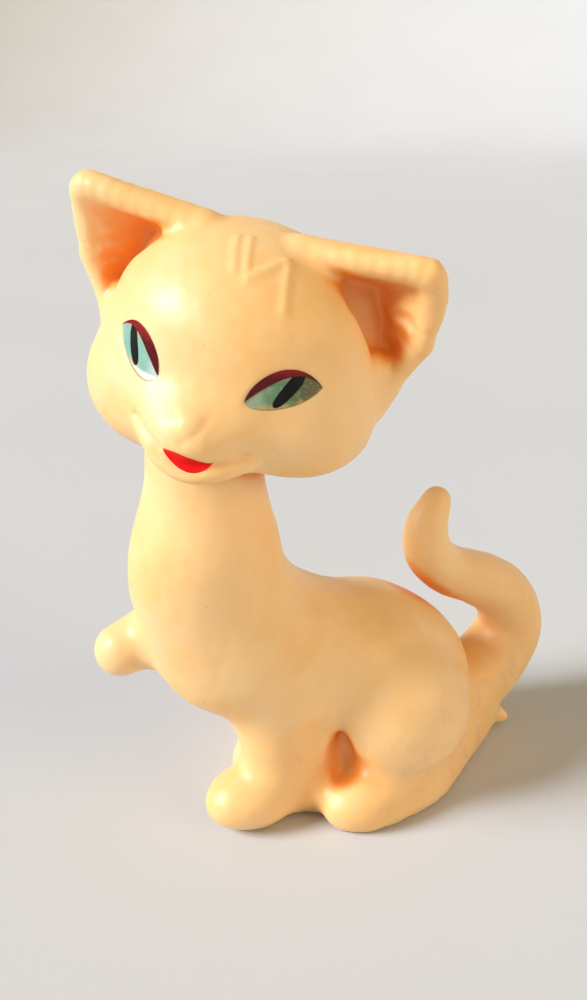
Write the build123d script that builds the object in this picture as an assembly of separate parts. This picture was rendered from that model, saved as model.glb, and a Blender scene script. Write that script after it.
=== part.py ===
from build123d import *
import math
import os

# A hollow squeeze-toy cat in soft vinyl: one moulding for the body, a second for the head,
# and a press-in squeaker in the base. The cat looks along -Y, +X is its left, and the flat
# base rests on Z = 0 with the origin at the middle of the base. All lengths are millimetres.

os.makedirs("parts", exist_ok=True)

# ---- driving dimensions ------------------------------------------------------------------
WALL = 2.2                      # thickness of both vinyl shells
FLOOR = 2.6                     # thickness of the flat base
NECK_Y = -43.0                  # the neck and the head's swivel axis stand at X = 0 and this Y

SHOULDER_Z = 110.7              # flat ring on top of the neck, under the head
SHOULDER_R = 14.2
GROOVE_R = 11.0                 # groove that the head's neck ring turns in
GROOVE_H = 2.9
BEAD_R = 13.0                   # bead above the groove, which holds the head on
BEAD_H = 3.0
BEAD_EDGE = (0.4, 1.2)          # radius less and height of the bead's widest edge
BEAD_NOSE = 1.8                 # radius less at the bead's top
NECK_BORE_R = 8.8
NECK_NARROWS = (105.0, 108.5)   # heights where the neck's inside draws in to its bore

RING_CLEARANCE = 0.1            # radial, between the head's neck ring and the groove
RING_GAP_BELOW = 0.3            # axial, between the shoulder and the ring
RING_H = 2.4
COLLAR_R = 15.0                 # recess under the head that the neck's top stands in
BEAD_ROOM = 0.6                 # radial room around the bead, and
ABOVE_BEAD = 1.0                # axial room over it
UNDER_HEAD_Z = 90.0             # a height clear below the head, where its neck cuts start

HEAD_CENTRE = (2.6, -34.5, 127.0)
HEAD_TURN = 45.0                # the face is turned to the cat's left,
HEAD_ROLL = 13.5                # leans over to that side
HEAD_NOD = 3.0                  # and looks down a little

PAINT = 0.4                     # stand-in thickness of each painted layer
EYE_CENTRE = (17.0, -21.0, 3.0)  # left eye, in the head's own frame
EYE_FACING = (0.5, -0.866, 0.0)
EYE_SLANT = 16.0
EYE_HALF_LENGTH = 9.0
EYE_TOP = 4.6
EYE_BOTTOM = 3.6
EYE_CURVE_R = 26.4              # radius of the painted eye surface
LID_THICKNESS = 1.3
PUPIL_LENGTH = 6.6
PUPIL_WIDTH = 1.7
PUPIL_LEAN = 35.0
EYE_REACH = 5.0                 # how far the eye's outlines reach in front and behind

MOUTH_CENTRE = (0.0, -31.4, -15.0)
MOUTH_FACING = (0.0, -0.8, -0.6)
MOUTH_HALF_LENGTH = 6.0
MOUTH_CORNER_V = 0.8            # heights of the mouth's corners, upper and lower edge
MOUTH_TOP_V = 0.2
MOUTH_BOTTOM_V = -2.6
MOUTH_DEPTH = 1.3
MOUTH_REACH = 6.0

SQUEAKER_Y = 20.0
CUP_R = 10.0
CUP_HEIGHT = 9.0
CUP_SHEET = 0.6
FLANGE_R = 12.0
FLANGE_LIFT = 0.2               # the flange sits this far above the base, clear of the table
AIR_HOLE_R = 2.5
REED_PLATE_Z = 6.5
REED_PLATE_H = 2.0
REED = (12.0, 3.6, 0.2)
TROUGH = (9.0, 2.6)
WEDGE = (3.0, 8.0, 1.5)

PAST = 1.0                      # how far a cut runs past the surface it opens
BLOCK = (300.0, 300.0, 100.0)   # larger than the cat, for cutting off everything below a height

# the torso and tail follow one curve in the plane X = 0, from the neck down the chest, back
# along the belly and up the tail: Y, Z, half width and half depth of each oval section
SPINE = [
    (-43.0, 84, 15.5, 15.5), (-43.5, 75, 17.6, 18.6), (-41.5, 64, 20.2, 22.0),
    (-35.0, 53, 22.0, 24.6), (-24.0, 43, 22.6, 26.6), (-9.0, 34, 23.2, 28.0),
    (8.0, 27, 24.6, 28.0), (24.0, 20, 24.0, 25.0), (37.5, 15, 20.0, 20.0),
    (48.5, 15, 14.6, 15.0), (57.5, 21, 11.6, 11.8), (60.0, 30, 10.4, 10.4),
    (56.5, 39, 9.6, 9.6), (48.5, 46, 9.0, 9.0), (38.0, 51, 8.4, 8.4),
    (29.0, 57, 7.8, 7.8), (24.2, 65, 6.9, 6.9), (24.6, 74, 5.2, 5.2),
]

# rounded masses of the body: two centres and the radius at each
HAUNCH = ((15, 8, 26), (16, 12, 25), 19.0, 18.5)
BELLY = ((0, 7, 10), (0, -14, 10), 19.5, 17.5)
HIND_FOOT = ((24.8, -1, 6.5), (24.4, -11.8, 6), 9.2, 8.4)
FORE_FOOT = ((8.2, -29, 8), (8.0, -41.5, 7), 9.5, 8.2)
FORELEG = ((7, -33, 34), (9, -32, 16), 13.0, 10.5)
RAISED_LEG = ((-12, -41, 56), (-13.5, -64, 50), 9.5, 7.0)

# ellipsoids of the head, in the head's own frame: the face looks along its -Y
CRANIUM = ((0, 3, 4), (31.5, 28.5, 26))
CHEEK = ((15.5, -4, -8.5), (18.2, 18, 13.5))
FACE = ((0, -6, -6), (24, 23, 15))
MUZZLE = ((0, -20, -10), (13, 14, 9))
CHIN = ((0, -22, -18), (9, 9, 5))

EAR_TIP = (43, -1, 32)
EAR_INNER = (11, 0, 27)
EAR_SIDE = (41.5, -1, 14)
EAR_OUTER = (32, -2, -3)
EAR_BACK = (26.5, 10, 18)
EAR_PLATE = 4.2                 # thickness of the walls of each ear


# ---- building blocks ---------------------------------------------------------------------
def egg(shape, shrink=0.0):
    """An ellipsoid, with every half axis shortened by shrink."""
    centre, radii = shape
    return Pos(*centre) * scale(Sphere(1), by=tuple(r - shrink for r in radii))


def flipped_egg(shape):
    """The same ellipsoid on the head's other side."""
    (x, y, z), radii = shape
    return (-x, y, z), radii


def flipped_limb(shape):
    """The same limb on the cat's other side."""
    (x, y, z), (end_x, end_y, end_z), start_r, end_r = shape
    return (-x, y, z), (-end_x, end_y, end_z), start_r, end_r


def limb(shape, shrink=0.0):
    """Two balls and the cone that touches both, as one turned solid."""
    start, end, start_r, end_r = shape
    start_r -= shrink
    end_r -= shrink
    axis = Vector(*end) - Vector(*start)
    length = axis.length
    lean = math.asin((start_r - end_r) / length)
    low = (start_r * math.cos(lean), start_r * math.sin(lean))
    high = (end_r * math.cos(lean), length + end_r * math.sin(lean))
    back = math.radians(-90) / 2 + lean / 2
    front = math.radians(90) / 2 + lean / 2
    low_mid = (start_r * math.cos(back), start_r * math.sin(back))
    high_mid = (end_r * math.cos(front), length + end_r * math.sin(front))
    outline = [
        ThreePointArc((0, -start_r), low_mid, low),
        Line(low, high),
        ThreePointArc(high, high_mid, (0, length + end_r)),
        Line((0, length + end_r), (0, -start_r)),
    ]
    profile = Plane.XZ * make_face(outline)
    return Plane(origin=start, z_dir=axis) * revolve(profile, Axis.Z)


def turned(points):
    """A solid turned about the neck's axis from (radius, Z) points."""
    profile = Plane.XZ * make_face(Polyline(*points, close=True))
    return Pos(0, NECK_Y, 0) * revolve(profile, Axis.Z)


def ring(z_low, z_high, outer_r, inner_r=0.0, y=NECK_Y):
    """A disc or a ring about a vertical axis at X = 0."""
    face = Circle(outer_r) - Circle(inner_r) if inner_r else Circle(outer_r)
    return Pos(0, y, z_low) * extrude(face, z_high - z_low)


def everything_below(z):
    """A block wider than the cat, with its top at the given height."""
    width, depth, height = BLOCK
    return Pos(0, 0, z - height / 2) * Box(width, depth, height)


def save(shape, node):
    shape.label = node
    export_step(shape, f"parts/{node}.step")


# ---- body shell --------------------------------------------------------------------------
def torso_and_tail(shrink=0.0):
    """One smooth skin over the oval sections of the spine, with a ball at the tail's tip."""
    sections = []
    for i, (y, z, half_width, half_depth) in enumerate(SPINE):
        before = SPINE[max(i - 1, 0)]
        after = SPINE[min(i + 1, len(SPINE) - 1)]
        along = (0, after[0] - before[0], after[1] - before[1]) if i else (0, 0, -1)
        plane = Plane(origin=(0, y, z), x_dir=(1, 0, 0), z_dir=along)
        sections.append(plane * Ellipse(half_width - shrink, half_depth - shrink))
    y, z, radius, _ = SPINE[-1]
    return loft(sections) + Pos(0, y, z) * Sphere(radius - shrink)


def neck_outside():
    _, foot_z, foot_r, _ = SPINE[0]
    groove_top = SHOULDER_Z + GROOVE_H
    edge_less, edge_h = BEAD_EDGE
    return turned([
        (0, foot_z), (foot_r, foot_z), (SHOULDER_R, SHOULDER_Z),
        (GROOVE_R, SHOULDER_Z), (GROOVE_R, groove_top), (BEAD_R, groove_top),
        (BEAD_R - edge_less, groove_top + edge_h), (BEAD_R - BEAD_NOSE, groove_top + BEAD_H),
        (0, groove_top + BEAD_H),
    ])


def neck_inside():
    _, foot_z, foot_r, _ = SPINE[0]
    top = SHOULDER_Z + GROOVE_H + BEAD_H + PAST
    wide_z, narrow_z = NECK_NARROWS
    return turned([
        (0, foot_z), (foot_r - WALL, foot_z), (SHOULDER_R - WALL, wide_z),
        (NECK_BORE_R, narrow_z), (NECK_BORE_R, top), (0, top),
    ])


def body_shell():
    masses = [HAUNCH, flipped_limb(HAUNCH), BELLY, FORELEG, RAISED_LEG]
    feet = [HIND_FOOT, flipped_limb(HIND_FOOT), FORE_FOOT]
    outside = torso_and_tail().fuse(neck_outside(), *[limb(s) for s in masses + feet])
    inside = torso_and_tail(WALL).fuse(neck_inside(), *[limb(s, WALL) for s in masses])
    inside = inside.cut(everything_below(FLOOR))
    seat = ring(-PAST, FLANGE_LIFT + CUP_SHEET, FLANGE_R, y=SQUEAKER_Y)
    hole = ring(-PAST, FLOOR + PAST, CUP_R, y=SQUEAKER_Y)
    return outside.cut(everything_below(0), inside).cut(seat.fuse(hole))


# ---- head shell and its paint ------------------------------------------------------------
HEAD_FRAME = Pos(*HEAD_CENTRE) * Rot(0, 0, HEAD_TURN) * Rot(0, HEAD_ROLL, 0) * Rot(HEAD_NOD, 0, 0)


def plate(a, b, c):
    """A flat triangle of the ear's wall thickness."""
    a, b, c = Vector(*a), Vector(*b), Vector(*c)
    normal = (b - a).cross(c - a)
    plane = Plane(origin=a, x_dir=b - a, z_dir=normal)
    corners = [plane.to_local_coords(p) for p in (a, b, c)]
    face = make_face(Polyline(*[(p.X, p.Y) for p in corners], close=True))
    rounded = fillet(face.vertices(), EAR_PLATE / 2)
    return plane * extrude(rounded, EAR_PLATE / 2, both=True)


def ear():
    top = plate(EAR_TIP, EAR_INNER, EAR_BACK)
    upper_side = plate(EAR_TIP, EAR_SIDE, EAR_BACK)
    lower_side = plate(EAR_SIDE, EAR_OUTER, EAR_BACK)
    return top + upper_side + lower_side


def eye_plane():
    facing = Vector(*EYE_FACING).normalized()
    level = Vector(0, 0, 1).cross(facing)
    plane = Plane(origin=EYE_CENTRE, x_dir=level, z_dir=facing)
    return plane * Rot(0, 0, EYE_SLANT)


def eye_outline():
    left = (-EYE_HALF_LENGTH, 0)
    right = (EYE_HALF_LENGTH, 0)
    top = ThreePointArc(left, (0, EYE_TOP), right)
    bottom = ThreePointArc(right, (0, -EYE_BOTTOM), left)
    return make_face([top, bottom])


def lid_outline():
    left = (-EYE_HALF_LENGTH, 0)
    right = (EYE_HALF_LENGTH, 0)
    top = ThreePointArc(left, (0, EYE_TOP), right)
    under = ThreePointArc(right, (0, EYE_TOP - LID_THICKNESS), left)
    return make_face([top, under])


def pupil_outline():
    return Rot(0, 0, -PUPIL_LEAN) * SlotOverall(PUPIL_LENGTH, PUPIL_WIDTH, rotation=90)


def eye_prism(outline):
    return eye_plane() * extrude(outline, EYE_REACH, both=True)


def eye_ball(radius):
    facing = Vector(*EYE_FACING).normalized()
    centre = Vector(*EYE_CENTRE) - facing * (EYE_CURVE_R + PAINT)
    return Pos(*centre) * Sphere(radius)


def mouth_plane():
    return Plane(origin=MOUTH_CENTRE, x_dir=(1, 0, 0), z_dir=MOUTH_FACING)


def mouth_outline():
    left = (-MOUTH_HALF_LENGTH, MOUTH_CORNER_V)
    right = (MOUTH_HALF_LENGTH, MOUTH_CORNER_V)
    top = ThreePointArc(left, (0, MOUTH_TOP_V), right)
    bottom = ThreePointArc(right, (0, MOUTH_BOTTOM_V), left)
    return make_face([top, bottom])


def eye_paint():
    """Iris, pupil and lid line of the left eye, side by side in one curved layer."""
    layer = eye_ball(EYE_CURVE_R) - eye_ball(EYE_CURVE_R - PAINT)
    lid = layer & eye_prism(lid_outline())
    pupil = (layer & eye_prism(pupil_outline())) - eye_prism(lid_outline())
    iris = layer & eye_prism(eye_outline())
    iris = iris - eye_prism(lid_outline()) - eye_prism(pupil_outline())
    return {"iris": iris, "pupil": pupil, "lid_line": lid}


def head_shell():
    rounds = [FACE, CHEEK, flipped_egg(CHEEK), MUZZLE]
    left_ear = ear()
    ears = [left_ear, mirror(left_ear, Plane.YZ)]
    outside = egg(CRANIUM).fuse(*[egg(s) for s in rounds + [CHIN]], *ears)
    inside = egg(CRANIUM, WALL).fuse(*[egg(s, WALL) for s in rounds])
    ring_low = SHOULDER_Z + RING_GAP_BELOW
    ring_high = ring_low + RING_H
    cavity = (HEAD_FRAME * inside).cut(ring(UNDER_HEAD_Z, ring_high, COLLAR_R + WALL))
    shell = (HEAD_FRAME * outside).cut(cavity)
    shell = shell.cut(
        ring(UNDER_HEAD_Z, ring_low, COLLAR_R),
        ring(UNDER_HEAD_Z, ring_high + PAST, GROOVE_R + RING_CLEARANCE),
        ring(ring_high, ring_high + BEAD_H + ABOVE_BEAD, BEAD_R + BEAD_ROOM),
    )
    socket = eye_prism(eye_outline()) - eye_ball(EYE_CURVE_R - PAINT)
    recess = mouth_plane() * Pos(0, 0, -MOUTH_DEPTH) * extrude(mouth_outline(), MOUTH_REACH)
    carved = [socket, mirror(socket, Plane.YZ), recess]
    return shell.cut(*[HEAD_FRAME * s for s in carved])


def mouth_paint():
    layer = extrude(mouth_outline(), PAINT)
    return HEAD_FRAME * (mouth_plane() * Pos(0, 0, -MOUTH_DEPTH) * layer)


# ---- squeaker ----------------------------------------------------------------------------
def squeaker_cup():
    """A drawn cup: flanged floor with an air hole outside, open end inside."""
    low = FLANGE_LIFT
    floor = ring(low, low + CUP_SHEET, FLANGE_R, AIR_HOLE_R, SQUEAKER_Y)
    wall = ring(low + CUP_SHEET, CUP_HEIGHT, CUP_R, CUP_R - CUP_SHEET, SQUEAKER_Y)
    return floor + wall


def squeaker_reed_plate():
    top = REED_PLATE_Z + REED_PLATE_H
    disc = ring(REED_PLATE_Z, top, CUP_R - CUP_SHEET, y=SQUEAKER_Y)
    trough = Pos(0, SQUEAKER_Y, top - REED_PLATE_H / 2) * Box(*TROUGH, REED_PLATE_H + 1)
    return disc - trough


def squeaker_reed():
    low = REED_PLATE_Z + REED_PLATE_H
    return Pos(0, SQUEAKER_Y, low + REED[2] / 2) * Box(*REED)


def squeaker_wedge():
    low = REED_PLATE_Z + REED_PLATE_H + REED[2]
    x = (REED[0] - WEDGE[0]) / 2
    return Pos(x, SQUEAKER_Y, low + WEDGE[2] / 2) * Box(*WEDGE)


# ---- write every node --------------------------------------------------------------------
save(body_shell(), "body_shell")
save(head_shell(), "head_shell")
for part_name, left_paint in eye_paint().items():
    save(HEAD_FRAME * left_paint, f"left_{part_name}")
    save(HEAD_FRAME * mirror(left_paint, Plane.YZ), f"right_{part_name}")
save(mouth_paint(), "mouth_paint")
save(squeaker_cup(), "squeaker_cup")
save(squeaker_reed_plate(), "squeaker_reed_plate")
save(squeaker_reed(), "squeaker_reed")
save(squeaker_wedge(), "squeaker_wedge")
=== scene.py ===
import math

import bpy
import bmesh
import numpy as np
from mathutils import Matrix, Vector


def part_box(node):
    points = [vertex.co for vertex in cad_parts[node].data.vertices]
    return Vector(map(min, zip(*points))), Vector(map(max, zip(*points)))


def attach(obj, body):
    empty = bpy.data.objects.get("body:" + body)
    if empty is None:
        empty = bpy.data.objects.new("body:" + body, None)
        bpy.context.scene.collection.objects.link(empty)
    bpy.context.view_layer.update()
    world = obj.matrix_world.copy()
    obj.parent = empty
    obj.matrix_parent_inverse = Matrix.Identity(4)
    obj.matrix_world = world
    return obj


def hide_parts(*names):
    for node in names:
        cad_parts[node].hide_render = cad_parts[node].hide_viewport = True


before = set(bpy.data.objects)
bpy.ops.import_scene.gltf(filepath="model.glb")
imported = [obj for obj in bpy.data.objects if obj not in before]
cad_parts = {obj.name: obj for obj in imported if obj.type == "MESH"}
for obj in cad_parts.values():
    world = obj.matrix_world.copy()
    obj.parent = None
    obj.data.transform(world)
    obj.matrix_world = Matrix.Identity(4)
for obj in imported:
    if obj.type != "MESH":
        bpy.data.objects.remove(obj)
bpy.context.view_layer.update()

# The two vinyl skins are surfaces of smooth distance fields, worked out in millimetres in the
# row frame and turned into even quad meshes. The paint is a set of thin coats that follow the
# head's skin over shallow dips in it.

MM = 0.001
FINE = 1.0     # coarser cells while trying things
BODY_CELL = 0.76 * FINE
HEAD_CELL = 0.54 * FINE

# the squeaker's pocket in the base
SQUEAKER_Y = 20.0
SEAT_RADIUS, SEAT_DEPTH = 12.1, 0.95
BORE_RADIUS, BORE_DEPTH = 10.12, 12

# the neck joint: the bead on the body and the room for it in the head, heights from the shoulder
NECK_X, NECK_Y = 0.0, -43.0
SHOULDER_Z = 110.7
STEM_RADIUS, STEM_HEIGHT, STEM_ROOT = 10.7, 4, 8
BEAD_RADIUS, BEAD_MIDDLE, BEAD_HALF = 12.9, 4.5, 1.4
COLLAR_RADIUS, COLLAR_GAP = 15.0, 0.3
HOLE_RADIUS, HOLE_HEIGHT = 11.2, 5
CHAMBER_RADIUS, CHAMBER_MIDDLE, CHAMBER_HALF = 13.6, 4.8, 2.3

HEAD_CENTRE = np.array((2.6, -34.5, 127.0))
HEAD_TURN = 45.0
HEAD_ROLL = 12.0
HEAD_NOD = 3.0

EYE_DIP = 0.22                            # how deep the eyes and the mouth are moulded
MOUTH_DIP = 0.3
DIP_EDGE = 1.4                            # the width over which a dip's side falls
PAINT_LIFT = 0.06                         # each coat of paint stands this far above what's under it
PAINT_DEPTH = 0.14
NEAR_SKIN = 4.0                           # small reliefs are worked out this near the surface


# ---- distance fields ---------------------------------------------------------------------
FAR_OFF = 1e3


def lengths(v):
    return np.sqrt(np.einsum("ij,ij->i", v, v))


def ellipsoid(p, centre, radii):
    q = p - np.array(centre, np.float32)
    r = np.array(radii, np.float32)
    k0 = lengths(q / r)
    k1 = lengths(q / (r * r))
    return k0 * (k0 - 1) / np.maximum(k1, 1e-6)


def round_cone(p, a, b, ra, rb):
    """Distance to two balls and the cone that touches both."""
    a = np.array(a, np.float32)
    ba = np.array(b, np.float32) - a
    l2 = float(ba @ ba)
    rr = ra - rb
    a2 = l2 - rr * rr
    pa = p - a
    y = pa @ ba
    z = y - l2
    across = pa * l2 - np.outer(y, ba)
    x2 = np.einsum("ij,ij->i", across, across)
    y2 = y * y * l2
    z2 = z * z * l2
    k = np.sign(rr) * rr * rr * x2
    side = (np.sqrt(x2 * a2 / l2) + y * rr) / l2 - ra
    low = np.sqrt(x2 + y2) / l2 - ra
    high = np.sqrt(x2 + z2) / l2 - rb
    side = np.where(np.sign(y) * a2 * y2 < k, low, side)
    return np.where(np.sign(z) * a2 * z2 > k, high, side)


def smin(a, b, k):
    """The lesser of two distances, with the join rounded over the width k."""
    h = np.maximum(k - np.abs(a - b), 0) / k
    return np.minimum(a, b) - h * h * k * 0.25


def smax(a, b, k):
    return -smin(-a, -b, k)


def blended(d, p, masses):
    """d joined to each mass in turn."""
    for form, measures, width in masses:
        d = smin(d, form(p, *measures), width)
    return d


def both_sides(p):
    """Points folded over to positive X, so that what is built there shows on both sides."""
    folded = p.copy()
    folded[:, 0] = np.abs(folded[:, 0])
    return folded


def spline(points, steps):
    """Catmull-Rom points through the given ones."""
    given = np.array(points, float)
    given = np.vstack([2 * given[0] - given[1], given, 2 * given[-1] - given[-2]])
    found = []
    for i in range(1, len(given) - 2):
        a, b, c, d = given[i - 1:i + 3]
        for t in np.linspace(0, 1, steps, endpoint=False):
            bend = (2 * a - 5 * b + 4 * c - d) * t * t + (-a + 3 * b - 3 * c + d) * t ** 3
            found.append(0.5 * (2 * b + (c - a) * t + bend))
    found.append(given[-2])
    return np.array(found)


def chain(p, points, k):
    """Round cones end to end through (x, y, z, radius) points."""
    total = None
    for a, b in zip(points, points[1:]):
        d = round_cone(p, a[:3], b[:3], a[3], b[3])
        total = d if total is None else smin(total, d, k)
    return total


def triangle(p, a, b, c, r):
    """A flat triangle with thickness 2 r and round edges."""
    a, b, c = (np.array(v, np.float32) for v in (a, b, c))
    edges = (b - a, c - b, a - c)
    offsets = (p - a, p - b, p - c)
    n = np.cross(edges[0], edges[2])
    over = sum(np.sign(q @ np.cross(e, n)) for e, q in zip(edges, offsets)) >= 2
    nearest = None
    for e, q in zip(edges, offsets):
        t = np.clip(q @ e / (e @ e), 0, 1)
        w = q - t[:, None] * e
        d2 = np.einsum("ij,ij->i", w, w)
        nearest = d2 if nearest is None else np.minimum(nearest, d2)
    flat = (offsets[0] @ n) ** 2 / (n @ n)
    return np.sqrt(np.where(over, flat, nearest)) - r


def turning(axis, degrees):
    c, s = math.cos(math.radians(degrees)), math.sin(math.radians(degrees))
    rows = {
        "x": ((1, 0, 0), (0, c, -s), (0, s, c)),
        "y": ((c, 0, s), (0, 1, 0), (-s, 0, c)),
        "z": ((c, -s, 0), (s, c, 0), (0, 0, 1)),
    }
    return np.array(rows[axis], np.float32)


HEAD_AXES = turning("z", HEAD_TURN) @ turning("y", HEAD_ROLL) @ turning("x", HEAD_NOD)


def to_head(p):
    return (p - HEAD_CENTRE.astype(np.float32)) @ HEAD_AXES


def from_head(q):
    return q @ HEAD_AXES.T + HEAD_CENTRE


def ripple(p, wave, seed):
    """Smooth unevenness between about -1 and 1, with the given wavelength."""
    random = np.random.default_rng(seed)
    total = np.zeros(len(p), np.float32)
    for _ in range(5):
        way = random.normal(size=3)
        way *= 2 * math.pi / wave / np.linalg.norm(way) * random.uniform(0.7, 1.4)
        total += np.sin(p @ way.astype(np.float32) + random.uniform(0, 2 * math.pi))
    return total / 3


def roughened(d, p, waves):
    for height, wave, seed in waves:
        d = d + height * ripple(p, wave, seed)
    return d


def segments_distance(p, points):
    """Distance from flat points to an open line through the given points."""
    nearest = np.full(len(p), FAR_OFF, np.float32)
    for a, b in zip(points, points[1:]):
        a, e = np.array(a, np.float32), np.array(b, np.float32) - np.array(a, np.float32)
        q = p - a
        t = np.clip(q @ e / max(float(e @ e), 1e-9), 0, 1)
        nearest = np.minimum(nearest, lengths(q - t[:, None] * e))
    return nearest


def outline_distance(p, outline):
    """Signed distance from flat points to a closed outline, negative inside."""
    closed = list(outline) + [outline[0]]
    inside = np.zeros(len(p), bool)
    for (ax, ay), (bx, by) in zip(closed, closed[1:]):
        crosses = (ay > p[:, 1]) != (by > p[:, 1])
        at = ax + (p[:, 1] - ay) * (bx - ax) / (by - ay if by != ay else 1e-9)
        inside ^= crosses & (p[:, 0] < at)
    d = segments_distance(p, closed)
    return np.where(inside, -d, d)


# ---- body --------------------------------------------------------------------------------
TAIL = spline([
    (0, 41, 13, 12.0), (0, 52, 19.5, 10.8), (0, 58.6, 30, 9.8), (0, 54, 42, 8.8),
    (0, 43, 49.8, 7.9), (0, 32.2, 55.2, 7.2), (0, 25.4, 62.2, 6.8), (0, 24.2, 70, 5.9),
    (0, 27.2, 77.5, 4.1),
], 5)
TAIL_FROM_Y = 5                           # nothing of the tail lies in front of this
TAIL_ROOT_Z = 34                          # the tail blends broadly into the rump below this
SHIN = spline([
    (22, -5, 5.5, 7.4), (24.4, 5, 4.5, 6.4), (20.4, 17, 4.5, 6), (10, 32.5, 4.5, 6.2),
    (3.5, 43, 4.5, 7),
], 5)
NECK = ((0, -43, 110), (0, -44, 84), 14.2, 14.4)
# masses: form, its measures, and the width over which it blends into those before it
TRUNK = [
    (ellipsoid, ((0, -44, 72), (17.6, 19.4, 23.5)), 9),              # chest
    (ellipsoid, ((0, -32.3, 51), (21, 24.5, 20)), 11),               # ribs
    (ellipsoid, ((0, -5.5, 38.3), (22, 26, 20.4)), 12),              # back
    (ellipsoid, ((0, 11, 26), (24.5, 25, 24)), 12),                  # rump
    (round_cone, ((7, -29.5, 37), (8, -29, 17), 11.2, 9.0), 7),      # standing foreleg
    (ellipsoid, ((7.9, -36, 7.5), (9.7, 13.6, 8.4)), 5),             # its foot
    (ellipsoid, ((7, -17, 22), (9, 12, 13)), 7),                     # behind the foreleg
    (ellipsoid, ((0, -9.5, 8), (19.6, 27, 15.5)), 5),                # belly
    (ellipsoid, ((0, 26, 8), (17, 21, 17)), 6),                      # seat
]
HAUNCH = ((20, 5.5, 26), (13.5, 18.5, 18))
HIND_FOOT = ((22.6, -7.5, 5.5), (9.2, 14.4, 8.8))
FLANK_VALLEY = ((15.4, -12.8, 28), (19.2, -14.2, 14), 0.3, 1.1)
RAISED_LEG = ((-12, -41, 55.5), (-13.2, -62.8, 49.6), 9.3, 6.9)
NIB = ((3.5, 45, 5.5), (8.4, 51.6, 3.0), 5.5, 1.5)                   # flash by the tail's root
# unevenness as height, wavelength and seed
BODY_WAVES = [(0.10, 15, 3), (0.035, 5, 4)]
TRIM_HEIGHT = 1.3                         # how far up the trimmed edge of the base shows
FLAT_BASE_Z = 0.12


def pocket(p):
    """The squeaker's seat and bore in the base."""
    r = np.hypot(p[:, 0], p[:, 1] - SQUEAKER_Y)
    seat = np.maximum(r - SEAT_RADIUS, p[:, 2] - SEAT_DEPTH)
    bore = np.maximum(r - BORE_RADIUS, p[:, 2] - BORE_DEPTH)
    return np.minimum(seat, bore)


def spigot(p):
    """The groove and bead on top of the neck, which the head turns on."""
    r = np.hypot(p[:, 0] - NECK_X, p[:, 1] - NECK_Y)
    z = p[:, 2]
    stem = np.maximum(r - STEM_RADIUS, z - SHOULDER_Z - STEM_HEIGHT)
    bead = smax(r - BEAD_RADIUS, np.abs(z - SHOULDER_Z - BEAD_MIDDLE) - BEAD_HALF, 1.0)
    return np.maximum(np.minimum(stem, bead), SHOULDER_Z - STEM_ROOT - z)


def body_form(p):
    """The body without its base, neck joint and squeaker pocket."""
    d = blended(round_cone(p, *NECK), p, TRUNK)
    mirrored = both_sides(p)
    d = smin(d, ellipsoid(mirrored, *HAUNCH), 5)
    shin = smin(chain(mirrored, SHIN, 0.5), ellipsoid(mirrored, *HIND_FOOT), 3)
    d = smin(d, shin, 6)
    d = smax(d, -round_cone(mirrored, *FLANK_VALLEY), 6)
    d = smin(d, round_cone(p, *RAISED_LEG), 6)
    tail = np.full(len(p), FAR_OFF, np.float32)
    behind = p[:, 1] > TAIL_FROM_Y
    if behind.any():
        tail[behind] = chain(p[behind], TAIL, 0.5)
    d = smin(d, tail, np.where(p[:, 2] < TAIL_ROOT_Z, 4.0, 0.8).astype(np.float32))
    return smin(d, round_cone(p, *NIB), 1.5)


def body_field(p):
    """The body's skin: uneven, with a hand-trimmed edge round its flat base."""
    d = roughened(body_form(p), p, BODY_WAVES)
    trim = np.exp(-(p[:, 2] / TRIM_HEIGHT) ** 2) * (0.22 * ripple(p, 3.1, 5) + 0.15 * ripple(p, 9, 6))
    d = smax(d - trim, FLAT_BASE_Z - p[:, 2], 1.0)
    d = smax(d, p[:, 2] - SHOULDER_Z, 0.5)
    d = np.minimum(d, spigot(p))
    return smax(d, -pocket(p), 0.3)


# ---- head --------------------------------------------------------------------------------
EAR_RIM = spline([
    (11.5, -1, 26.2, 2.8), (27, -2, 28.4, 2.1), (39.3, -1.5, 29.2, 2.5), (42.2, 2.0, 22.0, 1.8),
    (40.0, 4.0, 12.6, 1.7), (35.6, 4.2, 4.4, 1.8), (32.2, 3.0, -4.0, 2.4),
], 4)
EAR_RIDGE = spline([(12, 2.0, 27.2, 2.8), (26, 1.4, 28.8, 2.4), (39.0, 0.4, 29.4, 2.4)], 3)
EAR_CORNERS = {
    "inner": (11.5, 0, 26.4), "tip": (39.6, -0.5, 28.6), "outer": (40.2, 4.0, 12.6),
    "root": (32.2, 3.0, -4.0), "top_back": (26.5, 13.0, 21.5), "low_back": (31.0, 9.0, 2.5),
}
EAR_WALLS = [
    ("inner", "tip", "top_back"), ("tip", "outer", "top_back"), ("outer", "low_back", "top_back"),
    ("outer", "root", "low_back"), ("inner", "top_back", "low_back"),
]
EAR_PIT = [(25.0, 2.0, 20.0, 4.6), (30.2, 2.5, 8.5, 2.6)]
EAR_WALL = 1.7                            # half the thickness of an ear's walls
EAR_FILLS = [((30.2, 2.5, 1.5), (4.5, 4.5, 7.0)), ((23, 12, 16.5), (6, 4.5, 6.5))]
EARS_FROM_X, EARS_FROM_Z = 6, -12         # the ears change nothing nearer the middle or lower
EAR_CUP_FROM_X = 26
EAR_FOLD = (0.914, 0.376, 45.8)           # X and Z slopes and place of the plane behind the cup
CROWN_LEAN = 1.6                          # the crown and the ears sit a little to one side
CROWN_Z = 25

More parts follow.
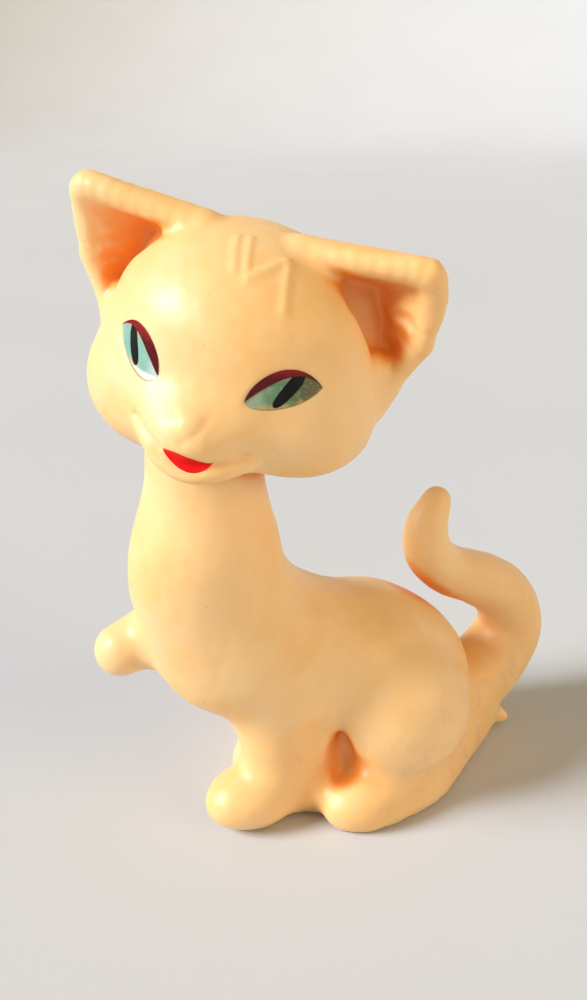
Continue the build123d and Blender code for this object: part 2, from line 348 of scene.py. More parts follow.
CRANIUM = ((0, 3, 4), (31.5, 28.5, 26))
CHEEK = ((15.5, -4, -8.5), (18.2, 18, 13.5))
MUZZLE = [
    (ellipsoid, ((-13.5, -9, -11), (14.5, 14.5, 10.8)), 6),          # right jowl
    (ellipsoid, ((0, -20, -10), (13, 14, 9)), 8),                    # muzzle
    (ellipsoid, ((0, -20, -15), (10, 9, 5)), 5),                     # chin
]
NOSE = ((0, -29.3, -6.4), (3.5, 3.4, 2.7))
FACE_BEFORE_Y, FACE_HALF_WIDTH = 6, 20    # where the drawn lines may lie
BROW_FROM_Z = 12                          # lines drawn on XY are above this and the others below
SEAM_Y, SEAM_HALF_WIDTH, SEAM_FROM_Z = 1.0, 0.6, 10
SEAM_TALLEST = 0.2
HEAD_WAVES = [(0.09, 14, 1), (0.03, 5, 2)]

EYE_CENTRE = np.array((17.0, -21.0, 3.0))
EYE_FACING = np.array((0.5, -0.866, 0.0))
MOUTH_CENTRE = np.array((0.6, -31.4, -15.0))
MOUTH_FACING = np.array((0.0, -0.8, -0.6))

# ridges and grooves: the plane that the line is drawn in, height, half width and points
FACE_LINES = [
    ("xy", 0.42, 1.0, [(-1.4, -7.5), (-0.4, -11.5), (1.0, -15.4)]),
    ("xy", 0.42, 0.9, [(1.4, -6.8), (2.4, -11.0), (3.6, -14.8)]),
    ("xy", 0.40, 1.0, [(10.0, -9.2), (7.8, -12.8), (4.6, -16.6)]),
    ("xy", 0.42, 1.1, [(11.0, -8.6), (12.0, -13.0), (13.4, -17.4)]),
    ("xz", -0.30, 1.1, [(3.3, -4.8), (2.2, -7.2), (0.4, -9.0)]),
    ("xz", -0.30, 1.1, [(-3.3, -4.8), (-2.2, -7.2), (-0.4, -9.0)]),
    ("xz", -0.50, 0.9, [(-13.6, -9.2), (-9.4, -10.6), (-5.4, -12.0)]),
    ("xz", -0.30, 1.1, [(11.6, -11.2), (9.2, -12.0), (6.8, -13.0)]),
    ("xz", -0.60, 2.2, [(7.4, -10.8), (9.8, -10.0)]),
]
# soft lobes in the cup of each ear: height, half width and points of X and Z
EAR_TUFTS = [
    (0.55, 1.3, [(31.4, 17.6), (34.2, 19.2), (36.2, 19.8)]),
    (0.85, 1.4, [(33.4, 15.6), (35.4, 15.8), (36.8, 15.2)]),
    (0.30, 1.1, [(32.4, 12.0), (34.4, 12.0), (35.8, 11.2)]),
]

LIP = spline([
    (-12.5, -25.5, -10.8, 1.4), (-9.0, -28.6, -12.8, 1.7), (-5.2, -30.4, -15.6, 1.8),
    (0.5, -31.0, -17.0, 1.8), (5.5, -30.2, -16.2, 1.8), (9.5, -27.8, -14.8, 1.6),
    (13.5, -23.8, -13.8, 1.0),
], 3)


def bezier(points, s):
    a, b, c, d = (np.array(v, float) for v in points)
    s = np.asarray(s)[:, None]
    return a * (1 - s) ** 3 + 3 * b * s * (1 - s) ** 2 + 3 * c * s * s * (1 - s) + d * s ** 3


# curves drawn on the face planes, level axis first, each as four Bezier points
EYE_TOP = [(-8.9, -3.1), (-7.9, 2.7), (0.6, 8.8), (7.4, 1.6)]
EYE_BOTTOM = [(-8.9, -3.1), (-7.8, -5.7), (2.2, -3.8), (7.4, 1.6)]
LID_UNDER = [(-8.9, -3.1), (-6.2, -0.7), (0.8, 7.4), (7.4, 1.6)]
MOUTH_TOP = [(-4.9, 3.0), (-1.6, 4.8), (2.4, 3.2), (5.8, 1.1)]
MOUTH_BOTTOM = [(-4.9, 3.0), (-4.2, 0.1), (2.8, -0.6), (5.8, 1.1)]
RIGHT_EYE_TOP = [(-7.7, -2.9), (-6.9, 2.9), (0.9, 9.4), (6.0, 3.4)]
RIGHT_EYE_BOTTOM = [(-7.7, -2.9), (-6.8, -7.2), (1.6, -4.6), (6.0, 3.4)]
RIGHT_LID_UNDER = [(-7.7, -2.9), (-4.4, -1.0), (0.8, 7.6), (6.0, 3.4)]


def closed_outline(top, bottom, count=20):
    s = np.linspace(0, 1, count)
    return np.vstack([bezier(bottom, s), bezier(top, s[1:-1])[::-1]])


class FacePlane:
    """A flat drawing plane on the face, with a level axis and an upward axis."""

    def __init__(self, centre, facing):
        self.centre = centre
        self.facing = facing / np.linalg.norm(facing)
        level = np.cross((0.0, 0.0, 1.0), self.facing)
        self.level = level / np.linalg.norm(level)
        self.up = np.cross(self.facing, self.level)

    def flat(self, q):
        off = q - self.centre.astype(np.float32)
        axes = np.stack([self.level, self.up], 1).astype(np.float32)
        return off @ axes

    def solid(self, uv):
        return self.centre + uv[:, :1] * self.level + uv[:, 1:] * self.up


EYE_PLANE = FacePlane(EYE_CENTRE, EYE_FACING)
MOUTH_PLANE = FacePlane(MOUTH_CENTRE, MOUTH_FACING)
EYE_OUTLINE = closed_outline(EYE_TOP, EYE_BOTTOM)
MOUTH_OUTLINE = closed_outline(MOUTH_TOP, MOUTH_BOTTOM)


def ears(q):
    """Rounded rims with a folded wall behind them, on the side of positive X."""
    wall = None
    for names in EAR_WALLS:
        d = triangle(q, *(EAR_CORNERS[name] for name in names), EAR_WALL)
        wall = d if wall is None else smin(wall, d, 1.5)
    wall = smin(wall, chain(q, EAR_RIDGE, 0.4), 3)
    for fill in EAR_FILLS:
        wall = smin(wall, ellipsoid(q, *fill), 4)
    return smin(wall, chain(q, EAR_RIM, 0.4), 3)


def leaned(p):
    """Points moved so that the crown and the ears built on them lean to the far side."""
    moved = p.copy()
    moved[:, 0] += CROWN_LEAN * np.clip(p[:, 2] / CROWN_Z, 0, 1.2)
    return moved


def head_form(p):
    """The head without its dips, in its own frame."""
    p = leaned(p)
    q = both_sides(p)
    d = smin(ellipsoid(p, *CRANIUM), ellipsoid(q, *CHEEK), 10)
    d = blended(d, p, MUZZLE)
    d = smin(d, chain(p, LIP, 1.0), 1.6)
    d = smin(d, ellipsoid(p, *NOSE), 3)
    aside = np.flatnonzero((q[:, 0] > EARS_FROM_X) & (q[:, 2] > EARS_FROM_Z))
    if len(aside):
        pit = chain(q[aside], EAR_PIT, 1.0)
        d[aside] = smin(smax(d[aside], -pit, 4.0), ears(q[aside]), 3.0)
    face = (p[:, 1] < FACE_BEFORE_Y) & (q[:, 0] < FACE_HALF_WIDTH)
    front = np.flatnonzero(face & (np.abs(d) < NEAR_SKIN))
    for plane, height, half_width, line in FACE_LINES:
        flat = p[front][:, [0, 1]] if plane == "xy" else p[front][:, [0, 2]]
        upward = p[front][:, 2] > BROW_FROM_Z
        shown = upward if plane == "xy" else ~upward
        off = segments_distance(flat, line)
        d[front] -= height * np.exp(-(off / half_width) ** 2) * shown
    x_slope, z_slope, place = EAR_FOLD
    before_fold = q[:, 1] < place - x_slope * q[:, 0] - z_slope * q[:, 2]
    cupped = np.flatnonzero((q[:, 0] > EAR_CUP_FROM_X) & (np.abs(d) < NEAR_SKIN) & before_fold)
    for height, half_width, line in EAR_TUFTS:
        off = segments_distance(q[cupped][:, [0, 2]], line)
        d[cupped] -= height * np.exp(-(off / half_width) ** 2)
    seam = np.exp(-((p[:, 1] - SEAM_Y) / SEAM_HALF_WIDTH) ** 2) * (p[:, 2] > SEAM_FROM_Z)
    rough = 0.04 + 0.10 * ripple(p, 2.6, 8) + 0.06 * ripple(p, 11, 9)
    return d - seam * np.clip(rough, 0, SEAM_TALLEST)


def dipped(d, q, plane, outline, depth, reach):
    """d with a shallow soft-edged dip inside an outline."""
    within = lengths(q - plane.centre.astype(np.float32)) < reach
    near = np.flatnonzero(within & (np.abs(d) < NEAR_SKIN))
    if len(near):
        sides = outline_distance(plane.flat(q[near]), outline)
        share = np.clip(0.5 - sides / DIP_EDGE, 0, 1)
        d[near] += depth * share * share * (3 - 2 * share)
    return d


def neck_recess(p):
    """The collar, ring and bead chamber under the head, turned about the neck."""
    r = np.hypot(p[:, 0] - NECK_X, p[:, 1] - NECK_Y)
    z = p[:, 2]
    collar = np.maximum(r - COLLAR_RADIUS, z - SHOULDER_Z - COLLAR_GAP)
    hole = np.maximum(r - HOLE_RADIUS, z - SHOULDER_Z - HOLE_HEIGHT)
    chamber = np.maximum(r - CHAMBER_RADIUS, np.abs(z - SHOULDER_Z - CHAMBER_MIDDLE) - CHAMBER_HALF)
    return np.minimum(collar, np.minimum(hole, chamber))


def face_field(q):
    """The head's skin in its own frame, with the dips under the paint."""
    d = roughened(head_form(q), q, HEAD_WAVES)
    d = dipped(d, both_sides(q), EYE_PLANE, EYE_OUTLINE, EYE_DIP, 13)
    return dipped(d, q, MOUTH_PLANE, MOUTH_OUTLINE, MOUTH_DIP, 10)


def head_field(p):
    return smax(face_field(to_head(p)), -neck_recess(p), 0.9)


# ---- meshes ------------------------------------------------------------------------------
def sampled(field, p, lump=300000):
    return np.concatenate([field(p[i:i + lump]) for i in range(0, len(p), lump)])


def grid_values(field, low, shape, cell, stride=6):
    """The field on a grid: fine near the surface, one value a block elsewhere."""
    blocks = [int(math.ceil((n - 1) / stride)) for n in shape]
    index = np.stack(np.meshgrid(*[np.arange(b) for b in blocks], indexing="ij"), -1).reshape(-1, 3)
    middle = (low + (index + 0.5) * stride * cell).astype(np.float32)
    coarse = sampled(field, middle)
    values = coarse.reshape(blocks)
    for axis in range(3):
        values = np.repeat(values, stride, axis)
    values = np.pad(values, [(0, 1)] * 3, mode="edge").astype(np.float32)
    near = index[np.abs(coarse) < stride * cell * 1.25 + 1.0]
    steps = np.arange(stride + 1)
    inner = np.stack(np.meshgrid(steps, steps, steps, indexing="ij"), -1).reshape(-1, 3)
    at = (near[:, None, :] * stride + inner[None]).reshape(-1, 3)
    key = np.unique(np.ravel_multi_index(at.T, values.shape))
    at = np.stack(np.unravel_index(key, values.shape), -1)
    values.ravel()[key] = sampled(field, (low + at * cell).astype(np.float32))
    return values


def surface_net(values, low, cell):
    """One point in each cell that the surface crosses, and a quad over each crossed edge."""
    inside = values < 0
    count = sum(
        inside[i:i + inside.shape[0] - 1, j:j + inside.shape[1] - 1, k:k + inside.shape[2] - 1]
        .astype(np.int8)
        for i in (0, 1) for j in (0, 1) for k in (0, 1)
    )
    cells = np.argwhere((count > 0) & (count < 8))
    total = np.zeros((len(cells), 3))
    crossed = np.zeros(len(cells))
    for axis in range(3):
        others = [a for a in range(3) if a != axis]
        for u in (0, 1):
            for v in (0, 1):
                start = cells.copy()
                start[:, others[0]] += u
                start[:, others[1]] += v
                end = start.copy()
                end[:, axis] += 1
                a, b = values[tuple(start.T)], values[tuple(end.T)]
                hit = (a < 0) != (b < 0)
                t = np.where(hit, a / np.where(hit, a - b, 1), 0)
                point = start.astype(float)
                point[:, axis] += t
                total += point * hit[:, None]
                crossed += hit
    points = low + total / crossed[:, None] * cell
    number = np.full(count.shape, -1, np.int64)
    number[tuple(cells.T)] = np.arange(len(cells))
    quads = []
    for axis in range(3):
        u, v = (axis + 1) % 3, (axis + 2) % 3
        span = [slice(None)] * 3
        span[axis] = slice(0, -1)
        ahead = [slice(None)] * 3
        ahead[axis] = slice(1, None)
        here, there = inside[tuple(span)], inside[tuple(ahead)]
        edges = np.argwhere(here != there)
        leaving = here[tuple(edges.T)]
        ring = []
        for du, dv in ((1, 1), (0, 1), (0, 0), (1, 0)):
            corner = edges.copy()
            corner[:, u] -= du
            corner[:, v] -= dv
            ring.append(number[tuple(corner.T)])
        ring = np.stack(ring, -1)
        quads.append(np.where(leaving[:, None], ring, ring[:, ::-1]))
    return points, np.concatenate(quads)


def slopes(field, p, h):
    """Unit outward directions of the field at p."""
    total = np.zeros(p.shape)
    for way in ((1, -1, -1), (-1, -1, 1), (-1, 1, -1), (1, 1, 1)):
        way = np.array(way, np.float32)
        total += way * sampled(field, (p + way * h).astype(np.float32))[:, None]
    return total / np.maximum(lengths(total), 1e-9)[:, None]


def evened(points, quads, out, share):
    """Points moved within the surface towards the middle of their neighbours."""
    pairs = np.concatenate([quads[:, [i, (i + 1) % 4]] for i in range(4)])
    pairs = np.concatenate([pairs, pairs[:, ::-1]])
    degree = np.bincount(pairs[:, 0], minlength=len(points))
    mean = np.stack([
        np.bincount(pairs[:, 0], points[pairs[:, 1], axis], len(points)) for axis in range(3)
    ], -1) / degree[:, None]
    move = mean - points
    move -= np.einsum("ij,ij->i", move, out)[:, None] * out
    return points + move * share


def skin_mesh(field, low, high, cell):
    """An even closed quad mesh on field = 0, with the surface's outward directions."""
    low = np.array(low, float)
    shape = [int(math.ceil((b - a) / cell)) + 1 for a, b in zip(low, high)]
    values = grid_values(field, low, shape, cell)
    points, quads = surface_net(values, low, cell)
    for turn in range(3):
        out = slopes(field, points, cell * 0.35)
        depth = sampled(field, points.astype(np.float32))
        points = points - out * np.clip(depth, -cell / 2, cell / 2)[:, None]
        if turn < 2:
            points = evened(points, quads, out, 0.5)
    return points, quads, out


def new_object(name, points, faces):
    mesh = bpy.data.meshes.new(name)
    mesh.from_pydata((points * MM).tolist(), [], faces.tolist() if len(faces) else [])
    mesh.polygons.foreach_set("use_smooth", np.ones(len(mesh.polygons), bool))
    mesh.update()
    made = bpy.data.objects.new(name, mesh)
    bpy.context.scene.collection.objects.link(made)
    return made


def note(made, name, values):
    """A number on each vertex that the materials read."""
    attribute = made.data.attributes.new(name, "FLOAT", "POINT")
    attribute.data.foreach_set("value", values.astype(np.float32))


def closeness(field, points, out, reaches):
    """0 on open skin to about 1 deep in a crease, from how soon the field meets itself."""
    total = np.zeros(len(points))
    for reach in reaches:
        d = sampled(field, (points + out * reach).astype(np.float32))
        total += np.clip(1 - d / reach, 0, 1)
    return total / len(reaches)


def skin(name, field, low, high, cell, around):
    points, quads, out = skin_mesh(field, low, high, cell)
    made = new_object(name, points, quads)
    # painted shade: each vertex notes how shut in it is, and the vinyl darkens to orange there
    note(made, "crease", closeness(around, points, out, (2.5, 6.0, 12.0)))
    return made


def whole_field(p):
    return np.minimum(body_field(p), head_field(p))


# ---- painted layers ----------------------------------------------------------------------
def on_face(plane, uv, side, lift):
    """Drawing points dropped on to the head's skin, lift above it; side is -1 on its right."""
    across = np.array((side, 1, 1), float)
    start = plane.solid(uv) * across
    way = plane.facing * across
    w = np.full(len(uv), 6.0)
    for _ in range(30):
        d = face_field((start + w[:, None] * way).astype(np.float32)) - lift
        w -= d * 0.9
    return start + w[:, None] * way, way


def layer(name, plane, lower, upper, lift, side=1, along=72, across=22):
    """A thin closed coat of paint between two curves drawn on the face."""
    s = (1 - np.cos(np.linspace(0, math.pi, along))) / 2
    t = np.linspace(0, 1, across)
    low, high = lower(s), upper(s)
    uv = low[:, None, :] * (1 - t)[None, :, None] + high[:, None, :] * t[None, :, None]
    uv = uv.reshape(-1, 2)
    outer, way = on_face(plane, uv, side, lift)
    points = np.vstack([outer, outer - way * PAINT_DEPTH])
    number = np.arange(along * across).reshape(along, across)
    faces = np.stack([number[:-1, :-1], number[1:, :-1], number[1:, 1:], number[:-1, 1:]], -1)
    faces = faces.reshape(-1, 4)
    rim = np.concatenate([number[:, 0], number[-1, 1:], number[-2::-1, -1], number[0, -2:0:-1]])
    after = np.roll(rim, -1)
    below = along * across
    walls = np.stack([rim, rim + below, after + below, after], -1)
    faces = np.concatenate([faces, faces[:, ::-1] + below, walls])
    made = new_object(name, from_head(points), faces)
    note(made, "along", np.tile(uv[:, 0], 2))
    note(made, "up", np.tile(uv[:, 1], 2))
    merged = bmesh.new()
    merged.from_mesh(made.data)
    bmesh.ops.remove_doubles(merged, verts=merged.verts, dist=0.000005)
    bmesh.ops.recalc_face_normals(merged, faces=merged.faces)
    merged.to_mesh(made.data)
    merged.free()
    return made


def bar(foot, head, foot_width, head_width):
    """The two sides of a round-ended tapered bar, as curves from its foot to its head."""
    foot, head = np.array(foot), np.array(head)
    side = np.array((foot[1] - head[1], head[0] - foot[0]))
    side /= np.linalg.norm(side)

    def curve(sign):
        def at(s):
            bulge = (1 - np.abs(2 * s - 1) ** 3) ** (1 / 2.2)
            half = bulge * (foot_width + (head_width - foot_width) * s) / 2
            return foot + (head - foot) * s[:, None] + sign * side * half[:, None]
        return at
    return curve(1), curve(-1)


# ---- materials ---------------------------------------------------------------------------
class Shader:
    """Short names for building one material's nodes."""

    def __init__(self, name):
        self.material = bpy.data.materials.new(name)
        self.material.use_nodes = True
        self.tree = self.material.node_tree
        self.surface = self.tree.nodes["Principled BSDF"]
        self.place = self.tree.nodes.new("ShaderNodeTexCoord").outputs["Object"]

    def set(self, **values):
        for name, value in values.items():
            self.surface.inputs[name.replace("_", " ")].default_value = value

    def link(self, output, name):
        self.tree.links.new(output, self.surface.inputs[name])

    def feed(self, node, name, value):
        socket = node.inputs[name]
        if isinstance(value, bpy.types.NodeSocket):
            self.tree.links.new(value, socket)
        else:
            socket.default_value = value

    def attribute(self, name):
        node = self.tree.nodes.new("ShaderNodeAttribute")
        node.attribute_name = name
        return node.outputs["Fac"]

    def noise(self, size_mm, detail=3.0, roughness=0.5, distortion=0.0):
        node = self.tree.nodes.new("ShaderNodeTexNoise")
        self.tree.links.new(self.place, node.inputs["Vector"])
        node.inputs["Scale"].default_value = 1000 / size_mm
        node.inputs["Detail"].default_value = detail
        node.inputs["Roughness"].default_value = roughness
        node.inputs["Distortion"].default_value = distortion
        return node.outputs["Fac"]

    def cells(self, size_mm):
        node = self.tree.nodes.new("ShaderNodeTexVoronoi")
        self.tree.links.new(self.place, node.inputs["Vector"])
        node.inputs["Scale"].default_value = 1000 / size_mm
        return node.outputs["Distance"], node.outputs["Color"]

    def ramp(self, value, low, high):
        """0 at low to 1 at high, smoothly."""
        node = self.tree.nodes.new("ShaderNodeMapRange")
        node.interpolation_type = "SMOOTHSTEP"
        self.feed(node, "Value", value)
        node.inputs["From Min"].default_value = low
        node.inputs["From Max"].default_value = high
        return node.outputs["Result"]

    def math(self, kind, a, b=0.0):
        node = self.tree.nodes.new("ShaderNodeMath")
        node.operation = kind
        self.feed(node, 0, a)
        self.feed(node, 1, b)
        return node.outputs["Value"]

    def mix(self, share, a, b):
        node = self.tree.nodes.new("ShaderNodeMix")
        node.data_type = "RGBA"
        self.feed(node, "Factor", share)
        self.feed(node, "A", a)
        self.feed(node, "B", b)
        return node.outputs[2]

    def bump(self, height, depth_mm, strength=1.0):
        node = self.tree.nodes.new("ShaderNodeBump")
        node.inputs["Distance"].default_value = depth_mm * MM
        node.inputs["Strength"].default_value = strength
        self.feed(node, "Height", height)
        self.link(node.outputs["Normal"], "Normal")

    def height(self):
        """Height above the table, in millimetres."""
        node = self.tree.nodes.new("ShaderNodeSeparateXYZ")
        self.tree.links.new(self.place, node.inputs["Vector"])
        return self.math("MULTIPLY", node.outputs["Z"], 1000.0)


def rgb(r, g, b):
    """Linear colour from the usual 0 to 255 display values."""
    def linear(c):
        c /= 255
        return c / 12.92 if c <= 0.04045 else ((c + 0.055) / 1.055) ** 2.4
    return linear(r), linear(g), linear(b), 1.0


def dots(shader, size_mm, share, radius):
    """Scattered small round specks: 1 on a speck, 0 elsewhere."""
    distance, colour = shader.cells(size_mm)
    split = shader.tree.nodes.new("ShaderNodeSeparateColor")
    shader.tree.links.new(colour, split.inputs["Color"])
    chosen = shader.math("LESS_THAN", split.outputs[0], share)
    size = shader.math("MULTIPLY", split.outputs[1], radius)
    spot = shader.math("SUBTRACT", size, distance)
    return shader.math("MULTIPLY", shader.ramp(spot, 0.0, radius * 0.35), chosen)


def vinyl(name, grime):
    """Aged cream vinyl with painted shade that turns it orange in its creases and where parts meet,
    and some dirt near the table.
    """
    s = Shader(name)
    blotch = s.noise(26, 4, 0.55)
    fine = s.noise(3.5, 5, 0.6)
    pores = s.noise(0.8, 4, 0.6)
    colour = s.mix(s.ramp(blotch, 0.35, 0.68), rgb(252, 210, 152), rgb(248, 199, 130))
    colour = s.mix(s.math("MULTIPLY", s.ramp(fine, 0.45, 0.75), 0.25), colour, rgb(252, 218, 172))
    crease = s.attribute("crease")
    # painted shade: the skin turns orange, then deep orange, the more a point is shut in by creases,
    # hollows and the other part
    colour = s.mix(s.ramp(crease, 0.20, 0.72), colour, rgb(244, 160, 74))
    colour = s.mix(s.math("MULTIPLY", s.ramp(crease, 0.62, 0.95), 0.6), colour, rgb(232, 124, 34))
    if grime:
        low = s.math("SUBTRACT", 1.0, s.ramp(s.height(), 16, 46))
        dirty = s.math("MULTIPLY", s.ramp(s.noise(7, 5, 0.65), 0.5, 0.72), low)
        colour = s.mix(s.math("MULTIPLY", dirty, 0.35), colour, rgb(205, 165, 148))
    specks = dots(s, 5.0, 0.28, 0.075)
    pits = dots(s, 2.6, 0.10, 0.10)
    marks = s.math("MAXIMUM", specks, s.math("MULTIPLY", pits, 0.6))
    colour = s.mix(s.math("MULTIPLY", marks, 0.45), colour, rgb(150, 105, 62))
    s.link(colour, "Base Color")
    rough = s.math("ADD", s.math("MULTIPLY", fine, 0.16), 0.33)
    s.link(rough, "Roughness")
    s.set(Subsurface_Weight=0.35, Subsurface_Scale=0.004, IOR=1.5)
    s.surface.inputs["Subsurface Radius"].default_value = (1.0, 0.42, 0.16)
    relief = s.math("ADD", s.math("MULTIPLY", pores, 0.35), s.math("MULTIPLY", fine, 0.65))
    relief = s.math("SUBTRACT", relief, s.math("MULTIPLY", marks, 0.5))
    s.bump(relief, 0.10, 0.6)
    return s.material


def iris_paint(name, inner, middle, outer, corner):
    """Washes of colour from the nose side of the eye to its outer corner."""
    s = Shader(name)
    along, up = s.attribute("along"), s.attribute("up")
    wash = s.noise(2.4, 4, 0.6)
    brush = s.noise(0.7, 4, 0.6, 0.6)
    drift = s.math("MULTIPLY", s.math("SUBTRACT", wash, 0.5), 5.0)
    tint = s.math("ADD", along, drift)
    colour = s.mix(s.ramp(tint, -7.5, -2.5), inner, middle)
    colour = s.mix(s.ramp(tint, -0.5, 3.0), colour, outer)
    colour = s.mix(s.ramp(tint, 3.0, 7.0), colour, corner)
    lit = s.math("ADD", s.math("SUBTRACT", up, s.math("MULTIPLY", along, 0.28)), wash)
    colour = s.mix(s.math("MULTIPLY", s.ramp(lit, 2.6, 4.4), 0.6), colour, rgb(204, 164, 134))
    low = s.math("SUBTRACT", 1.0, s.ramp(s.math("ADD", lit, drift), -3.2, -0.8))
    colour = s.mix(s.math("MULTIPLY", low, 0.75), colour, rgb(206, 170, 98))
    colour = s.mix(s.math("MULTIPLY", s.ramp(brush, 0.5, 0.72), 0.3), colour, rgb(168, 192, 180))
    s.link(colour, "Base Color")
    s.link(s.math("ADD", s.math("MULTIPLY", brush, 0.12), 0.2), "Roughness")
    s.set(Specular_IOR_Level=0.35)
    s.bump(brush, 0.04, 0.4)
    return s.material


def dark_paint(name, colour, edge, roughness):
    """Glossy enamel with thin and thick places."""
    s = Shader(name)
    pool = s.noise(2.2, 3, 0.5)
    brush = s.noise(0.6, 4, 0.6, 0.4)
    s.link(s.mix(s.ramp(pool, 0.4, 0.7), colour, edge), "Base Color")
    s.link(s.math("ADD", s.math("MULTIPLY", brush, 0.15), roughness), "Roughness")
    s.set(Specular_IOR_Level=0.22)
    s.bump(brush, 0.04, 0.4)
    return s.material


def lid_paint():
    s = Shader("lid_enamel")
    along, up = s.attribute("along"), s.attribute("up")
    pool = s.noise(1.6, 3, 0.5)
    warm = s.math("SUBTRACT", up, s.math("MULTIPLY", along, 0.1))
    colour = s.mix(s.ramp(s.math("ADD", warm, pool), 3.2, 5.2), rgb(86, 4, 8), rgb(136, 12, 20))
    s.link(colour, "Base Color")
    s.link(s.math("ADD", s.math("MULTIPLY", pool, 0.15), 0.18), "Roughness")
    s.set(Specular_IOR_Level=0.3)
    s.bump(pool, 0.05, 0.4)
    return s.material


def metal(name, colour, worn, roughness):
    s = Shader(name)
    grain = s.noise(0.5, 5, 0.6)
    stain = s.noise(4, 4, 0.6)
    s.link(s.mix(s.ramp(stain, 0.4, 0.7), colour, worn), "Base Color")
    s.link(s.math("ADD", s.math("MULTIPLY", grain, 0.2), roughness), "Roughness")
    s.set(Metallic=1.0)
    s.bump(grain, 0.03, 0.5)
    return s.material


def moulded_plastic():
    s = Shader("off_white_plastic")
    grain = s.noise(0.6, 4, 0.6)
    stain = s.noise(5, 4, 0.6)
    s.link(s.mix(s.ramp(stain, 0.4, 0.7), rgb(232, 224, 204), rgb(214, 200, 172)), "Base Color")
    s.link(s.math("ADD", s.math("MULTIPLY", grain, 0.2), 0.4), "Roughness")
    s.bump(grain, 0.03, 0.5)
    return s.material


# ---- the pieces --------------------------------------------------------------------------
def stand_for(made, material, body, slot, *nodes):
    made.data.materials.append(material)
    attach(made, body)
    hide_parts(*nodes)


def in_mm(corner):
    return np.array(corner) / MM


body_low, body_high = (in_mm(c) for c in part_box("body_shell"))
head_low, head_high = (in_mm(c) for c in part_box("head_shell"))
MARGIN = 8.0                              # room round the CAD box for the sampling grid

# the body's painted crease shade is measured with the head in place, so the neck is shaded under the
# jaw
body_skin = skin(
    "body_skin", body_field, body_low - MARGIN, body_high + MARGIN, BODY_CELL, whole_field)
stand_for(body_skin, vinyl("body_vinyl", True), "body", "vinyl", "body_shell")

head_skin = skin(
    "head_skin", head_field, head_low - MARGIN, head_high + MARGIN, HEAD_CELL, head_field)
stand_for(head_skin, vinyl("head_vinyl", False), "head", "vinyl", "head_shell")

# one iris paint given twice: the left copy painted darker and browner as the eye in shade, the right
# copy painted paler and bluer as the eye in full light
lit_and_shaded_iris_enamels = {
    "left": iris_paint(
        "left_iris_shaded_enamel", rgb(158, 176, 146), rgb(98, 138, 104), rgb(98, 104, 62), rgb(110, 96, 58)),
    "right": iris_paint(
        "right_iris_lit_enamel", rgb(186, 206, 204), rgb(132, 180, 168), rgb(128, 176, 164),
        rgb(164, 192, 182)),
}
pupil_enamel = dark_paint("pupil_enamel", rgb(6, 6, 7), rgb(14, 16, 22), 0.3)
lid_enamel = lid_paint()
lip_enamel = dark_paint("lip_enamel", rgb(236, 0, 6), rgb(244, 8, 8), 0.4)


def drawn(points):
    return lambda s: bezier(points, s)


# each eye's outline, lid edge and pupil: hand painted, so the two differ a little
LEFT_PUPIL = bar((-2.8, -3.3), (2.8, 4.4), 2.2, 3.0)
RIGHT_PUPIL = bar((-1.4, -3.0), (2.5, 5.0), 2.0, 2.4)
EYES = {
    "left": (1, EYE_BOTTOM, EYE_TOP, LID_UNDER, LEFT_PUPIL),
    "right": (-1, RIGHT_EYE_BOTTOM, RIGHT_EYE_TOP, RIGHT_LID_UNDER, RIGHT_PUPIL),
}
for name, (side, bottom, top, lid_edge, pupil_sides) in EYES.items():
    iris = layer(f"{name}_iris_layer", EYE_PLANE, drawn(bottom), drawn(top), PAINT_LIFT, side)
    stand_for(iris, lit_and_shaded_iris_enamels[name], "head", "iris_paint", f"{name}_iris")
    pupil = layer(f"{name}_pupil_layer", EYE_PLANE, *pupil_sides, PAINT_LIFT * 2, side, 40, 10)
    stand_for(pupil, pupil_enamel, "head", "pupil_paint", f"{name}_pupil")
    lid = layer(f"{name}_lid_layer", EYE_PLANE, drawn(lid_edge), drawn(top), PAINT_LIFT * 3, side)
    stand_for(lid, lid_enamel, "head", "lid_paint", f"{name}_lid_line")

mouth = layer("mouth_layer", MOUTH_PLANE, drawn(MOUTH_BOTTOM), drawn(MOUTH_TOP), PAINT_LIFT * 2)
stand_for(mouth, lip_enamel, "head", "mouth_paint", "mouth_paint")

plastic = moulded_plastic()
squeaker_looks = {
    "squeaker_cup": metal("dull_aluminium", rgb(198, 198, 194), rgb(168, 166, 158), 0.3),
    "squeaker_reed_plate": plastic,
    "squeaker_wedge": plastic,
    "squeaker_reed": metal("rolled_brass", rgb(206, 168, 92), rgb(176, 134, 70), 0.25),
}
for node, material in squeaker_looks.items():
    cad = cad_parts[node]
    cad.data.materials.clear()
    cad.data.materials.append(material)


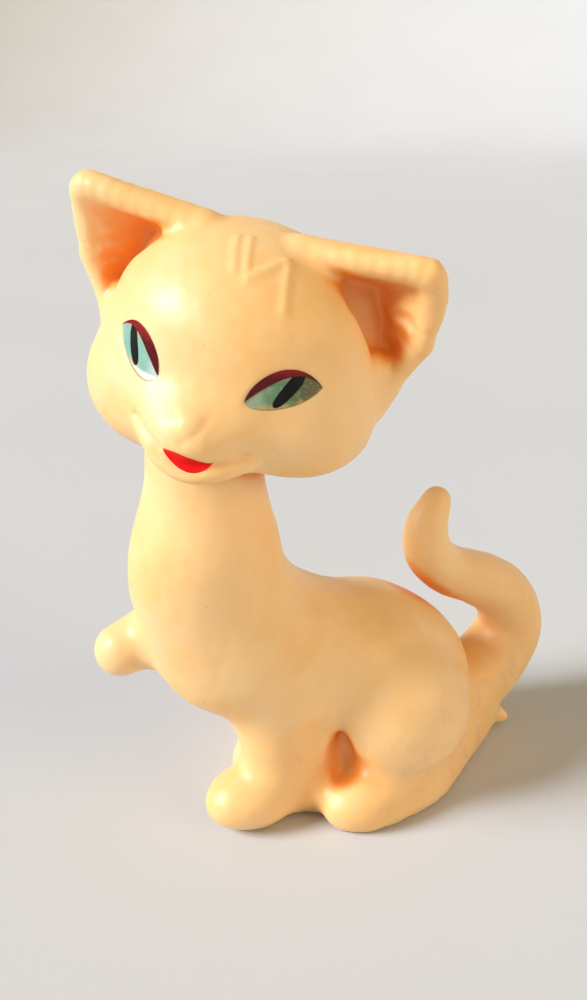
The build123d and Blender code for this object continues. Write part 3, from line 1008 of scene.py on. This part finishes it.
# ---- floor, light and camera -------------------------------------------------------------
def floor():
    """A round floor that curves up into a low wall, so that no horizon shows."""
    reach, bend, around = 5.0, 1.6, 96
    profile = [(r, 0.0) for r in (0.25, 0.6, 1.2, 2.2, reach - bend)]
    for step in range(1, 17):
        a = math.radians(90) * step / 16
        profile.append((reach - bend + bend * math.sin(a), bend - bend * math.cos(a)))
    points = [(0.0, 0.0, 0.0)]
    for radius, height in profile:
        for i in range(around):
            a = 2 * math.pi * i / around
            points.append((radius * math.cos(a), radius * math.sin(a), height))
    faces = [(0, 1 + i, 1 + (i + 1) % around) for i in range(around)]
    for row in range(len(profile) - 1):
        for i in range(around):
            here, there = 1 + row * around + i, 1 + row * around + (i + 1) % around
            faces.append((here, here + around, there + around, there))
    mesh = bpy.data.meshes.new("studio_floor")
    mesh.from_pydata(points, [], faces)
    mesh.polygons.foreach_set("use_smooth", np.ones(len(mesh.polygons), bool))
    ground = bpy.data.objects.new("studio_floor", mesh)
    bpy.context.scene.collection.objects.link(ground)
    s = Shader("pale_floor")
    patches = s.ramp(s.noise(300, 2), 0.3, 0.7)
    s.link(s.mix(patches, rgb(206, 210, 217), rgb(204, 208, 215)), "Base Color")
    s.set(Roughness=0.9)
    mesh.materials.append(s.material)


def soft_sun(name, place, strength, spread, colour):
    """A distant light from the given direction, with soft shadows."""
    data = bpy.data.lights.new(name, "SUN")
    data.energy = strength
    data.angle = math.radians(spread)
    data.color = colour
    lamp = bpy.data.objects.new(name, data)
    lamp.rotation_euler = Vector(place).to_track_quat("Z", "Y").to_euler()
    bpy.context.scene.collection.objects.link(lamp)


def surroundings():
    world = bpy.data.worlds.new("studio")
    world.use_nodes = True
    world.node_tree.nodes["Background"].inputs["Color"].default_value = (1.0, 0.88, 0.68, 1)
    world.node_tree.nodes["Background"].inputs["Strength"].default_value = 0.34
    bpy.context.scene.world = world


AIM = (0.0, -0.019, 0.087)
CAMERA_PLACE = (0.2048, -0.1372, 0.1825)
LENS = 36
floor()
surroundings()
soft_sun("window", (-0.20, -0.83, 0.52), 4.0, 24, (0.98, 0.99, 1.0))
soft_sun("fill", (0.85, 0.40, 0.35), 1.5, 40, (1.0, 0.70, 0.30))

camera_data = bpy.data.cameras.new("camera")
camera_data.lens = LENS
camera_data.sensor_width = 36
camera = bpy.data.objects.new("camera", camera_data)
camera.location = CAMERA_PLACE
camera.rotation_euler = (Vector(AIM) - camera.location).to_track_quat("-Z", "Y").to_euler()
bpy.context.scene.collection.objects.link(camera)
bpy.context.scene.camera = camera
bpy.context.scene.view_settings.view_transform = "Standard"
